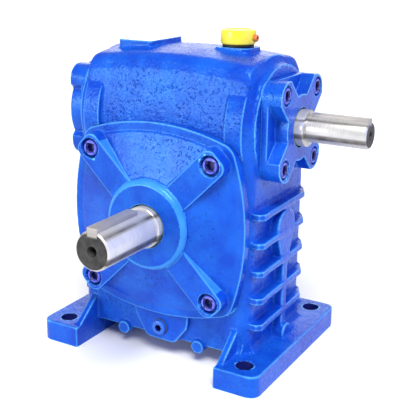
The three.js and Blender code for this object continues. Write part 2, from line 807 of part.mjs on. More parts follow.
mesh("output_cover", makeWheelCover(true), "paint", front);
mesh("rear_cover", makeWheelCover(false), "paint", back);
mesh("output_gasket", makeWheelGasket(true), "paper", front);
mesh("rear_gasket", makeWheelGasket(false), "paper", back);

const wormGasket = makeWormGasket();
mesh("input_cover", makeWormCover(true), "paint", right);
mesh("blind_cover", makeWormCover(false), "paint", left);
mesh("input_gasket", wormGasket, "paper", right);
mesh("blind_gasket", wormGasket, "paper", left);

const outputScrew = makeScrew(64.4);
const rearScrew = makeScrew(COVER_RIM + GAP);
const wormScrew = makeScrew(93.2);
CORNERS.forEach(([sx, sy], i) => {
  mesh(`output_cover_screw_${i + 1}`, outputScrew, "screw", front, sx * COVER_SCREW, sy * COVER_SCREW);
  mesh(`rear_cover_screw_${i + 1}`, rearScrew, "screw", back, sx * COVER_SCREW, sy * COVER_SCREW);
  mesh(`input_cover_screw_${i + 1}`, wormScrew, "screw", right, sx * WORM_SCREW, sy * WORM_SCREW);
  mesh(`blind_cover_screw_${i + 1}`, wormScrew, "screw", left, sx * WORM_SCREW, sy * WORM_SCREW);
});

mesh("output_seal", makeSeal(OUTPUT.seat, 27.8, 66, 74), "rubber", front);
mesh("input_seal", makeSeal(INPUT.seat, 23.8, 91, 98), "rubber", right);

const bearings = [
  ["output_front", front, OUTPUT_BEARING],
  ["output_rear", back, OUTPUT_BEARING],
  ["worm_input", right, WORM_BEARING],
  ["worm_blind", left, WORM_BEARING],
];
for (const [name, side, bearing] of bearings) {
  mesh(`${name}_bearing_cup`, makeCup(bearing), "ringSteel", side);
  mesh(`${name}_bearing_cone`, makeCone(bearing), "ringSteel", side);
  mesh(`${name}_bearing_rollers`, makeRollers(bearing), "ringSteel", side);
}

mesh("output_shaft", makeOutputShaft(), "steel", front);
mesh("output_key", keyBlock(OUTPUT, 0), "steel", front);
mesh("wheel_rim", makeWheelRim(), "bronze", front);
mesh("wheel_hub", makeWheelHub(), "castIron", front);
mesh("wheel_key", block(-4.9, 4.9, 14.3, 22.3, -19.7, 21.7), "steel", front);
mesh("wheel_spacer", turned([[17.8, 22.6], [24, 22.6], [24, 27.2], [17.8, 27.2]], ROUND.shaft), "steel", front);

mesh("worm_shaft", makeWormShaft(), "steel", right);
mesh("input_key", keyBlock(INPUT, 0), "steel", right);

mesh("breather_cap", makeBreatherCap(), "yellow", gearbox, PLUG_PAD.x);
mesh("breather_seal", makeBreatherSeal(), "rubber", gearbox, PLUG_PAD.x);
mesh("breather_vent", makeVentPin(), "vent", gearbox, PLUG_PAD.x);
mesh("drain_plug", makeDrainPlug(), "screw", front, DRAIN.x, DRAIN.z - WHEEL_Z);
mesh("drain_washer", makeDrainWasher(), "paper", front, DRAIN.x, DRAIN.z - WHEEL_Z);

// The row's origin is under the middle of the object's box, on the base plane.
gearbox.updateMatrixWorld(true);
const box = new THREE.Box3().setFromObject(gearbox, true);
gearbox.position.set(-(box.min.x + box.max.x) / 2, -(box.min.y + box.max.y) / 2, -box.min.z);

export default gearbox;
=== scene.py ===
"""Worm gearbox: cast and painted casing, turned shafts, screws, seals and plugs round the CAD frame."""

import math

import bmesh
import bpy
import numpy as np
from mathutils import Matrix, Vector


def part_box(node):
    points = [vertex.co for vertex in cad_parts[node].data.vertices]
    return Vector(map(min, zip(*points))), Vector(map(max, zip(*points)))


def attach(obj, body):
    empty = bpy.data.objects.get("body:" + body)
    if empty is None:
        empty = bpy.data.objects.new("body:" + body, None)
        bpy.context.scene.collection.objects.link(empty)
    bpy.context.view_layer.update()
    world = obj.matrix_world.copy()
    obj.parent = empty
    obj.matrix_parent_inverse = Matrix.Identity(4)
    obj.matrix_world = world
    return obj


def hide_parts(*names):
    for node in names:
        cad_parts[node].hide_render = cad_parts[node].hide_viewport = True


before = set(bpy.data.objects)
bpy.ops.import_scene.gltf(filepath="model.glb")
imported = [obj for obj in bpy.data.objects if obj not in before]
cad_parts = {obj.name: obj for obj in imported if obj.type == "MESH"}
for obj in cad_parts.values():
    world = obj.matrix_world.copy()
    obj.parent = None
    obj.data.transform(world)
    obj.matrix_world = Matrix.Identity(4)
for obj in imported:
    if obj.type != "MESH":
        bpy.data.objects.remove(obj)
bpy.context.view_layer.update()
scene = bpy.context.scene

# ---------------------------------------------------------------- dimensions
# Lengths are in millimetres, in the casting's own frame: its middle at x = y = 0, its feet
# on z = 0, the worm along X and the wheel shaft along Y.
MM = 0.001


def middle(node):
    """The middle of a node's box, in the row's frame."""
    low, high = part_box(node)
    return (low + high) / 2 / MM


def reach(node):
    """The low and the high corner of a node's box, in the casting's frame."""
    low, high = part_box(node)
    return low / MM - ORIGIN, high / MM - ORIGIN


ORIGIN = Vector((middle("housing").x, middle("housing").y, 0))
WHEEL_Z = middle("output_front_bearing_cup").z
WORM_Z = middle("worm_input_bearing_cup").z
BODY_X = 84
BODY_Y = 52
BELLY_Z = 17
TOP_Z = 264
CROWN_R = 560
FOOT_X = (69, reach("housing")[1].x)
FOOT_Y = reach("housing")[1].y
FOOT_Z = 18.5
FOOT_HOLE = (89.75, 68, 7.5)
CHAMBER_R = 70.3
TUNNEL_R = 31.25
BOSS_X = 83.8
BOSS_R = 49.5
FIN_Z = (43.4, 66.6, 90, 114, 138.4)
FIN_X = 93
DRAIN_X = middle("drain_plug").x - ORIGIN.x
DRAIN_Z = middle("drain_plug").z
PLUG_X = middle("breather_cap").x - ORIGIN.x
PLUG_PAD_Z = 265
LIFT_X = -43.3
LIFT_PAD_Z = reach("housing")[1].z
COVER_SCREW = 57.3
COVER_FACE = 73
COVER_RIM = 60.5
COVER_HUB = -reach("output_cover")[0].y
WORM_SCREW = 29.4
WORM_FACE = reach("input_cover")[1].x
WORM_RECESS = 90
WORM_COVER = (40, 13)
MOUTH_R = 18.6
WHEEL_BORE = 36.25  # radius of the wheel bearings' seats
WORM_BORE = 23.8
WHEEL_SEAT = 17.5  # radius of the shafts where their bearings and seals run
WORM_SEAT = 15
SCREW_HOLE = 4.4
FAR = 1e4
SEAM = 0.3  # the line left between two painted castings
FACE_STEP = 1.2  # how far a face is left proud before it is machined flat
FLAT = 0.97  # a face is square to an axis where its normal's part along it is more than this
CORNERS = ((-1, 1), (1, 1), (1, -1), (-1, -1))

# ---------------------------------------------------------------- shapes
FRONT, RIGHT, BACK, LEFT = 0, 1, 2, 3


def arc(x, y, radius, start, end, steps):
    turns = np.radians(np.linspace(start, end, steps + 1))
    return [(x + radius * math.cos(a), y + radius * math.sin(a)) for a in turns]


def rounded(half_x, half_y, radius, steps=8):
    x, y = half_x - radius, half_y - radius
    corners = ((x, y, 0), (-x, y, 90), (-x, -y, 180), (x, -y, 270))
    return [p for cx, cy, a in corners for p in arc(cx, cy, radius, a, a + 90, steps)]


def loft(sections):
    """A closed solid through rings of points, capped at both ends."""
    n = len(sections[0])
    verts = [tuple(p) for ring in sections for p in ring]
    faces = [tuple(reversed(range(n))), tuple(range(len(verts) - n, len(verts)))]
    for level in range(len(sections) - 1):
        for i in range(n):
            a, b = level * n + i, level * n + (i + 1) % n
            faces.append((a, b, b + n, a + n))
    return verts, faces


def prism(outline, z0, z1):
    return loft([[(x, y, z) for x, y in outline] for z in (z0, z1)])


def lathe(outline, segments=96):
    """A closed [radius, height] outline turned about Z."""
    verts, rings, faces = [], [], []
    for r, h in outline:
        if r < 1e-6:
            rings.append([len(verts)] * segments)
            verts.append((0, 0, h))
            continue
        rings.append(list(range(len(verts), len(verts) + segments)))
        for i in range(segments):
            a = 2 * math.pi * i / segments
            verts.append((r * math.cos(a), r * math.sin(a), h))
    for j, ring in enumerate(rings):
        other = rings[(j + 1) % len(rings)]
        for i in range(segments):
            k = (i + 1) % segments
            corners = dict.fromkeys((ring[i], ring[k], other[k], other[i]))
            if len(corners) > 2:
                faces.append(tuple(corners))
    return verts, faces


def rod(radius, z0, z1, segments=64):
    return lathe([(0, z0), (radius, z0), (radius, z1), (0, z1)], segments)


def box(x0, x1, y0, y1, z0, z1):
    return prism([(x0, y0), (x1, y0), (x1, y1), (x0, y1)], z0, z1)


def bar(start, end, width, z0, z1):
    """A bar with round ends between two points."""
    length = math.dist(start, end)
    turn = math.atan2(end[1] - start[1], end[0] - start[0])
    outline = arc(length, 0, width / 2, -90, 90, 16) + arc(0, 0, width / 2, 90, 270, 16)
    cos, sin = math.cos(turn), math.sin(turn)
    return prism([(start[0] + x * cos - y * sin, start[1] + x * sin + y * cos) for x, y in outline], z0, z1)


def arm(sx, sy, width, length, z0, z1):
    """A blunt-ended arm from near the axis out into a corner."""
    turn = math.atan2(sy, sx)
    cos, sin = math.cos(turn), math.sin(turn)
    root, corner = 25, 8
    low = arc(length - corner, corner - width / 2, corner, -90, 0, 8)
    high = arc(length - corner, width / 2 - corner, corner, 0, 90, 8)
    outline = [(root, -width / 2), *low, *high, (root, width / 2)]
    return prism([(x * cos - y * sin, x * sin + y * cos) for x, y in outline], z0, z1)


def moved(shape, x=0.0, y=0.0, z=0.0):
    return mapped(shape, lambda a, b, c: (a + x, b + y, c + z))


def mapped(shape, rule):
    return [rule(*p) for p in shape[0]], shape[1]


def facing(shape, side, height):
    """From a side's own frame, +Z outwards and +Y up, into the casting's."""
    rules = (
        lambda x, y, w: (x, -w, height + y),
        lambda x, y, w: (w, x, height + y),
        lambda x, y, w: (-x, w, height + y),
        lambda x, y, w: (-w, -x, height + y),
    )
    return mapped(shape, rules[side])


# ---------------------------------------------------------------- solids
def solid(name, *shapes):
    """One Blender object of closed shapes, in metres, in the row's frame."""
    verts, faces = [], []
    for shape in shapes:
        start = len(verts)
        verts += [((x + ORIGIN.x) * MM, (y + ORIGIN.y) * MM, z * MM) for x, y, z in shape[0]]
        faces += [tuple(start + i for i in face) for face in shape[1]]
    mesh = bpy.data.meshes.new(name)
    mesh.from_pydata(verts, [], faces)
    made = bpy.data.objects.new(name, mesh)
    scene.collection.objects.link(made)
    outward(mesh)
    return made


def outward(mesh):
    """Turns every shell's faces outwards."""
    work = bmesh.new()
    work.from_mesh(mesh)
    bmesh.ops.recalc_face_normals(work, faces=work.faces)
    work.to_mesh(mesh)
    work.free()


def apply(made):
    """Replaces an object's mesh by what its modifiers make of it."""
    graph = bpy.context.evaluated_depsgraph_get()
    old = made.data
    made.data = bpy.data.meshes.new_from_object(made.evaluated_get(graph))
    made.modifiers.clear()
    made.data.name = made.name
    bpy.data.meshes.remove(old)
    return made


def combine(made, tool, operation):
    change = made.modifiers.new("cut", "BOOLEAN")
    change.operation = operation
    change.object = tool
    change.solver = "MANIFOLD"
    apply(made)
    bpy.data.objects.remove(tool)
    return made


def cut(made, *shapes):
    for shape in shapes:
        combine(made, solid("tool", shape), "DIFFERENCE")
    return made


def meet(name, first, second):
    return combine(solid(name, first), solid("tool", second), "INTERSECT")


def shape_of(made):
    """A Blender object back as a plain shape in the casting's frame."""
    verts = [tuple(v.co / MM - ORIGIN) for v in made.data.vertices]
    faces = [tuple(p.vertices) for p in made.data.polygons]
    bpy.data.objects.remove(made)
    return verts, faces


def cast(name, shapes, voxel, soften, flats=(), thin=1.0):
    """Joins shapes as one casting with rounded edges and filleted roots, then machines its flats."""
    made = solid(name, *shapes)
    remesh = made.modifiers.new("voxels", "REMESH")
    remesh.mode = "VOXEL"
    remesh.voxel_size = voxel * MM
    smooth = made.modifiers.new("soft", "SMOOTH")
    smooth.factor = 0.5
    smooth.iterations = soften
    apply(made)
    machine(made, flats)
    if thin < 1:
        decimate = made.modifiers.new("thin", "DECIMATE")
        decimate.ratio = thin
        apply(made)
    return made


def machine(made, flats):
    """Presses the skin inside each region back to a plane: (axis, limit, low corner, high corner).

    The side that is pressed is the one away from the casting's middle.
    """
    count = len(made.data.vertices)
    points = np.empty(count * 3)
    made.data.vertices.foreach_get("co", points)
    points = points.reshape(-1, 3) / MM - np.array(ORIGIN)
    for axis, limit, low, high in flats:
        inside = np.all((points > low) & (points < high), axis=1)
        side = 1 if limit > 0 else -1
        beyond = inside & (side * (points[:, axis] - limit) > 0)
        points[beyond, axis] = limit
    made.data.vertices.foreach_set("co", ((points + np.array(ORIGIN)) * MM).ravel())


def shade(made, angle=32):
    made.data.shade_smooth()
    made.data.set_sharp_from_angle(angle=math.radians(angle))
    return made


def bevelled(made, width, segments=2, angle=35):
    change = made.modifiers.new("edges", "BEVEL")
    change.width = width * MM
    change.segments = segments
    change.limit_method = "ANGLE"
    change.angle_limit = math.radians(angle)
    return apply(made)


# ---------------------------------------------------------------- materials
class Nodes:
    """A material's node tree, with short calls for what repeats."""

    def __init__(self, name):
        self.material = bpy.data.materials.new(name)
        self.material.use_nodes = True
        self.tree = self.material.node_tree
        self.shader = self.tree.nodes["Principled BSDF"]
        coordinates = self.tree.nodes.new("ShaderNodeTexCoord")
        self.place = coordinates.outputs["Object"]

    def add(self, kind, **settings):
        node = self.tree.nodes.new(kind)
        for key, value in settings.items():
            if key in node.inputs:
                node.inputs[key].default_value = value
            else:
                setattr(node, key, value)
        return node

    def link(self, source, target):
        self.tree.links.new(source, target)

    def noise(self, scale, detail=4.0, stretch=None, rough=0.55):
        node = self.add("ShaderNodeTexNoise", Scale=scale, Detail=detail, Roughness=rough)
        if stretch:
            mapping = self.add("ShaderNodeMapping")
            mapping.inputs["Scale"].default_value = stretch
            self.link(self.place, mapping.inputs["Vector"])
            self.link(mapping.outputs["Vector"], node.inputs["Vector"])
        else:
            self.link(self.place, node.inputs["Vector"])
        return node.outputs["Fac"]

    def ramp(self, source, *stops):
        return self.colours(source, *[(position, (value, value, value)) for position, value in stops])

    def colours(self, source, *stops):
        """A colour ramp through (position, colour) stops in rising order."""
        node = self.add("ShaderNodeValToRGB")
        points = node.color_ramp.elements
        points[0].position, points[-1].position = stops[0][0], stops[-1][0]
        for position, _ in stops[1:-1]:
            points.new(position)
        for point, (_, colour) in zip(points, stops):
            point.color = (*colour, 1)
        self.link(source, node.inputs["Fac"])
        return node.outputs["Color"]

    def height(self, axis_z, radius):
        """0 at the underside of a lying shaft, 1 at its top."""
        parts = self.add("ShaderNodeSeparateXYZ")
        self.link(self.place, parts.inputs["Vector"])
        node = self.add("ShaderNodeMapRange")
        node.inputs["From Min"].default_value = (axis_z - radius) * MM
        node.inputs["From Max"].default_value = (axis_z + radius) * MM
        self.link(parts.outputs["Z"], node.inputs["Value"])
        return node.outputs["Result"]

    def edges(self, start, full):
        """1 on outer edges, 0 on flats and in corners."""
        shape = self.add("ShaderNodeNewGeometry")
        return self.ramp(shape.outputs["Pointiness"], (start, 0.0), (full, 1.0))

    def mixed(self, colour, other, amount):
        node = self.add("ShaderNodeMix", data_type="RGBA")
        self.link(amount, node.inputs["Factor"])
        self.link(colour, node.inputs["A"])
        node.inputs["B"].default_value = (*other, 1)
        return node.outputs["Result"]

    def product(self, first, second):
        node = self.add("ShaderNodeMath", operation="MULTIPLY")
        self.link(first, node.inputs[0])
        self.link(second, node.inputs[1])
        return node.outputs["Value"]

    def darkened(self, colour, mask, amount):
        """The colour, dimmed by an amount where the mask is 1."""
        keep = self.add("ShaderNodeMapRange")
        keep.inputs["To Min"].default_value = 1.0
        keep.inputs["To Max"].default_value = 1.0 - amount
        self.link(mask, keep.inputs["Value"])
        scaled = self.add("ShaderNodeVectorMath", operation="SCALE")
        self.link(colour, scaled.inputs[0])
        self.link(keep.outputs["Result"], scaled.inputs["Scale"])
        return scaled.outputs["Vector"]

    def spread(self, source, low, high):
        node = self.add("ShaderNodeMapRange")
        node.inputs["To Min"].default_value = low
        node.inputs["To Max"].default_value = high
        node.inputs["From Min"].default_value = 0.3
        node.inputs["From Max"].default_value = 0.7
        self.link(source, node.inputs["Value"])
        return node.outputs["Result"]

    def bump(self, *layers):
        """Each layer is (height source, depth in millimetres)."""
        normal = None
        for source, depth in layers:
            node = self.add("ShaderNodeBump", Strength=1.0, Distance=depth * MM)
            self.link(source, node.inputs["Height"])
            if normal:
                self.link(normal, node.inputs["Normal"])
            normal = node.outputs["Normal"]
        self.link(normal, self.shader.inputs["Normal"])


DEEP_BLUE = (0.003, 0.045, 0.45)
LIT_BLUE = (0.006, 0.090, 0.55)
# paler blue for the painted highlight on outer edges
EDGE_HIGHLIGHT_BLUE = (0.10, 0.42, 0.86)
# paler blues for a painted highlight on the output cover's hub edge and upward arm sides
HIGHLIGHT_DEEP = (0.025, 0.20, 0.62)
HIGHLIGHT_LIT = (0.045, 0.26, 0.68)
# brown for the painted reflection bands along the shafts
REFLECTION_BROWN = (0.06, 0.046, 0.033)
INPUT_GREY = (0.62, 0.607, 0.58)
OUTPUT_GREY = (0.66, 0.647, 0.62)


def enamel(name, layers, mottling, rough, pits=None, blues=(DEEP_BLUE, LIT_BLUE)):
    """Glossy blue enamel over cast iron, mottled, with a painted highlight in a paler blue on its outer
    edges.

    Layers and pits are (noise scale, depth in millimetres); blues are its dark and light tones.
    """
    m = Nodes(name)
    wide = m.noise(mottling, 5)
    tone = m.colours(wide, (0.38, blues[0]), (0.62, blues[1]))
    # painted highlight: the outer edges turn a paler blue
    tone = m.mixed(tone, EDGE_HIGHLIGHT_BLUE, m.edges(0.515, 0.56))
    heights = [(m.noise(scale, 4), depth) for scale, depth in layers]
    if pits:
        scale, depth = pits
        patches = m.ramp(m.noise(26, 3), (0.42, 0.0), (0.60, 1.0))
        holes = m.product(m.ramp(m.noise(scale, 3), (0.58, 0.0), (0.70, 1.0)), patches)
        heights.append((holes, -depth))
        # painted shade: the pits are darkened
        tone = m.darkened(tone, holes, 0.45)
    m.link(tone, m.shader.inputs["Base Color"])
    m.link(m.spread(heights[0][0], rough * 0.8, rough * 1.25), m.shader.inputs["Roughness"])
    m.shader.inputs["Specular IOR Level"].default_value = 0.38
    m.shader.inputs["Specular Tint"].default_value = (0.4, 0.95, 1.0, 1)
    m.bump(*heights)
    return m.material


def steel(name, colour, rough, stretch, depth=0.004, metallic=1.0, reflection_bands=None):
    """Ground steel, its marks running round the axis that has the large stretch.

    The last argument is (axis height, radius) of a shaft that carries two brown stripes along it at fixed
    heights, a painted reflection.
    """
    m = Nodes(name)
    marks = m.noise(900, 3, stretch)
    stain = m.noise(55, 4)
    darker = tuple(c * 0.85 for c in colour)
    tone = m.colours(stain, (0.35, darker), (0.6, colour))
    if reflection_bands:
        axis_z, radius = reflection_bands
        height = m.height(axis_z, radius)
        low_band = ((0.16, 0.2), (0.24, 1.0), (0.36, 0.8), (0.42, 0.0))
        high_band = ((0.80, 0.0), (0.87, 1.0), (0.94, 0.2))
        # painted reflection: brown bands by height round the shaft
        band = m.ramp(height, *low_band, *high_band)
        tone = m.mixed(tone, REFLECTION_BROWN, m.product(band, m.ramp(stain, (0.3, 0.6), (0.6, 1.0))))
    m.link(tone, m.shader.inputs["Base Color"])
    m.shader.inputs["Metallic"].default_value = metallic
    m.link(m.spread(marks, rough * 0.85, rough * 1.2), m.shader.inputs["Roughness"])
    m.bump((marks, depth))
    return m.material


def plain(name, dark, light, rough, metallic=0.0, scale=300, depth=0.05, coat=0.0):
    """A moulded, cast or pressed surface with a fine uneven skin."""
    m = Nodes(name)
    grain = m.noise(scale, 4)
    tone = m.noise(scale / 9, 3)
    m.link(m.colours(tone, (0.35, dark), (0.65, light)), m.shader.inputs["Base Color"])
    m.shader.inputs["Metallic"].default_value = metallic
    m.shader.inputs["Coat Weight"].default_value = coat
    m.link(m.spread(grain, rough * 0.85, rough * 1.15), m.shader.inputs["Roughness"])
    m.bump((grain, depth))
    return m.material


PAINT = enamel("casting_enamel", ((120, 0.6), (400, 0.4)), mottling=34, rough=0.27, pits=(440, 0.4))
COVER_PAINT = enamel("cover_enamel", ((150, 0.22), (460, 0.16)), mottling=38, rough=0.25, pits=(480, 0.3))
FLAT_PAINT = enamel("machined_enamel", ((240, 0.1), (700, 0.05)), mottling=40, rough=0.26)
SCREW_PAINT = plain(
    "screw_enamel", (0.07, 0.09, 0.54), (0.14, 0.17, 0.76), rough=0.3, metallic=0.1, scale=400, depth=0.03
)
# enamel in paler blues: a painted highlight
HIGHLIGHT_PAINT = enamel(
    "painted_highlight_enamel", ((150, 0.15), (460, 0.1)), mottling=38, rough=0.25, blues=(HIGHLIGHT_DEEP, HIGHLIGHT_LIT)
)
PLUG_PAINT = plain("plug_enamel", (0.008, 0.08, 0.46), (0.015, 0.13, 0.60), rough=0.3, scale=400, depth=0.03)
# near-black blue: painted shade in sockets and holes
RECESS_SHADE_PAINT = plain(
    "painted_recess_shade", (0.004, 0.008, 0.10), (0.008, 0.014, 0.17), rough=0.4, scale=400, depth=0.03
)
ALONG_X = steel(
    "worm_shaft_steel", INPUT_GREY, 0.3, (1.6, 0.05, 0.05), depth=0.0008, metallic=0.35, reflection_bands=(WORM_Z, 11)
)
ALONG_Y = steel(
    "output_shaft_steel", OUTPUT_GREY, 0.3, (0.05, 1.6, 0.05), depth=0.0008, metallic=0.3, reflection_bands=(WHEEL_Z, 16)
)
KEY_STEEL = steel("key_steel", (0.40, 0.375, 0.35), 0.4, (1, 1, 1), metallic=0.3)
# near black on the shafts' end faces and in their centre holes
END_STEEL = plain(
    "near_black_end_steel", (0.002, 0.002, 0.002), (0.035, 0.032, 0.028), rough=0.55, scale=1500, depth=0.2
)
RACE_STEEL = steel("bearing_steel", (0.78, 0.79, 0.80), 0.14, (1, 1, 1), depth=0.005)
BARE_IRON = plain(
    "milled_iron", (0.72, 0.76, 0.82), (0.86, 0.9, 0.96), rough=0.3, metallic=0.9, scale=500, depth=0.02
)
BRONZE = plain(
    "wheel_bronze", (0.50, 0.30, 0.11), (0.66, 0.42, 0.17), rough=0.32, metallic=1.0, scale=420, depth=0.02
)
IRON = plain(
    "hub_iron", (0.10, 0.10, 0.11), (0.17, 0.17, 0.18), rough=0.6, metallic=0.7, scale=350, depth=0.08
)
PAPER = plain("gasket_fibre", (0.03, 0.05, 0.12), (0.05, 0.08, 0.22), rough=0.7, scale=900, depth=0.03)
RUBBER = plain("seal_rubber", (0.010, 0.010, 0.011), (0.022, 0.022, 0.024), rough=0.5, scale=600, depth=0.02)
YELLOW = plain(
    "cap_plastic", (0.84, 0.66, 0.02), (0.93, 0.78, 0.05), rough=0.32, scale=500, depth=0.02, coat=0.2
)
VENT = plain("vent_plastic", (0.45, 0.10, 0.02), (0.62, 0.16, 0.03), rough=0.4, scale=500, depth=0.02)
# near black: painted shade at the bottom of the vent's hole
VENT_HOLE_SHADE = plain("painted_vent_hole_shade", (0.01, 0.01, 0.01), (0.02, 0.018, 0.016), rough=0.6, scale=500, depth=0.02)


def give(made, *materials):
    made.data.materials.clear()
    for material in materials:
        made.data.materials.append(material)


def dress(made, body, node, slot, *materials):
    """Sets a finished piece in place of a CAD node."""
    give(made, *materials)
    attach(made, body)
    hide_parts(node)
    return made


def repaint(made, material, test):
    """Gives another of the piece's materials to the faces whose middle and normal pass the test."""
    index = made.data.materials.find(material.name)
    for face in made.data.polygons:
        centre = face.center / MM - ORIGIN
        if test(centre, face.normal):
            face.material_index = index


# ---------------------------------------------------------------- casing
def wall_scale(z):
    """How far the walls have leaned in at a height: along X and along Y."""
    top = 266

    def scale(start, lean, power):
        return 1 - lean * (max(0, z - start) / (top - start)) ** power

    return scale(150, 0.075, 1.35), scale(200, 0.18, 1.9)


def crown(x, y):
    """Height of the arched top, which falls away at its shoulders."""
    arch = TOP_Z - CROWN_R + math.sqrt(CROWN_R**2 - x * x)
    fall = 0.0024 * y * y
    shoulder_x, shoulder_y = (78.6, 7), (46.7, 11)
    return arch - fall - rounding(abs(y), *shoulder_y) - rounding(abs(x), *shoulder_x)


def rounding(out, limit, radius):
    """Fall of a round edge that turns to nearly vertical at the limit."""
    slope = 7
    along = min(max(0, out - limit + radius), 0.99 * radius)
    return radius - math.sqrt(radius**2 - along**2) + slope * max(0, out - limit)


def body_shell():
    outline = rounded(BODY_X, BODY_Y, 9)
    rings = []
    for z in (BELLY_Z, 80, *range(150, 272, 6), 275):
        sx, sy = wall_scale(z)
        rings.append([(x * sx, y * sy, z) for x, y in outline])
    xs = np.linspace(-95, 95, 60)
    rows = []
    for y in np.linspace(-62, 62, 42):
        top = [(x, y, crown(x, y)) for x in xs]
        rows.append([(95, y, 0), (-95, y, 0), *[(x, y, z) for x, y, z in top]][::-1])
    return shape_of(meet("shell", loft(rings), loft(rows)))


def foot(side):
    """A foot slab with its webs, its fillets and the flares of the corner columns."""
    x0, x1 = FOOT_X
    corner = 9
    near = arc(x1 - corner, corner - FOOT_Y, corner, -90, 0, 8)
    far = arc(x1 - corner, FOOT_Y - corner, corner, 0, 90, 8)
    plan = [(x0, -FOOT_Y), *near, *far, (x0, FOOT_Y)]
    shapes = [prism(plan, -FACE_STEP, FOOT_Z)]
    web_y, web_z = 78, 40
    web = [
        (BODY_Y - 6, FOOT_Z - 2),
        (web_y, FOOT_Z - 2),
        (web_y, FOOT_Z + 0.6),
        (BODY_Y - 0.5, web_z),
        (BODY_Y - 6, web_z),
    ]
    flare = [(-2, -2), (9, -2), *arc(9, 9, 9, -90, -180, 6), (-2, 9)]
    for end in (-1, 1):
        shapes.append(mapped(prism(web, x0, x0 + 6), lambda y, z, x: (x, end * y, z)))
        column = prism(flare, 76, BODY_X - 4)
        shapes.append(mapped(column, lambda y, z, x: (x, end * (BODY_Y + y), FOOT_Z + z)))
    root = [(x * 0.8, y * 0.8) for x, y in flare]
    shapes.append(mapped(prism(root, 6 - BODY_Y, BODY_Y - 6), lambda x, z, y: (BODY_X + x, y, FOOT_Z + z)))
    return [mapped(shape, lambda x, y, z: (side * x, y, z)) for shape in shapes]


def end_wall(side):
    """Fins, the round pad and the rib that runs from it down to the foot."""
    root = BODY_X - 5
    plan = [
        (3 - BODY_Y, root),
        (BODY_Y - 6, root),
        (BODY_Y - 6, BODY_X + 2),
        (BODY_Y - 18, FIN_X - 0.5),
        (7 - BODY_Y, FIN_X + 0.6),
        (3 - BODY_Y, FIN_X - 3),
    ]
    shapes = [mapped(prism(plan, z - 2.6, z + 2.6), lambda x, w, y: (x, y, w)) for z in FIN_Z]
    pad_z = FIN_Z[3] + 3
    shield = [(-16.4, pad_z - 4), (-4.4, 84), (4.4, 84), (16.4, pad_z - 4)]
    shapes.append(moved(rod(17, root, FIN_X - 0.6), 0, pad_z))
    shapes.append(prism(shield, root, FIN_X - 0.6))
    shapes.append(box(-4.4, 4.4, FOOT_Z - 1, pad_z, root, FIN_X - 0.6))
    heel = bar((0, FOOT_Z - 1), (0, FOOT_Z + 3), 18, root, FIN_X + 3)
    shapes.append(mapped(heel, lambda x, y, w: (x * 0.9, y, w)))
    return [facing(shape, side, 0) for shape in shapes]


def boss(side):
    """The round end boss, flared into the wall, with a square seat for its cover."""
    face = BOSS_X + FACE_STEP
    flare = [(BOSS_R + r, BOSS_X - 9 + h) for r, h in arc(7, 8, 7, 270, 180, 8)]
    neck = lathe([(0, 60), (BOSS_R + 7, 60), *flare, (BOSS_R, face), (0, face)])
    half, corner = WORM_COVER
    seat = prism(rounded(half, half, corner), 70, face)
    return [facing(neck, side, WORM_Z), facing(seat, side, WORM_Z)]


def on_lift_pad(c, n):
    """The milled top of the lift pad, inside its painted edge."""
    inside = abs(c.x - LIFT_X) < 15 and abs(c.y) < 23.5
    return inside and n.z > FLAT and c.z > LIFT_PAD_Z - 0.1


def in_foot_hole(c, n):
    hole_x, hole_y, hole_r = FOOT_HOLE
    away = math.hypot(abs(c.x) - hole_x, abs(c.y) - hole_y)
    return away < hole_r + 0.2 and c.z < FOOT_Z + 2


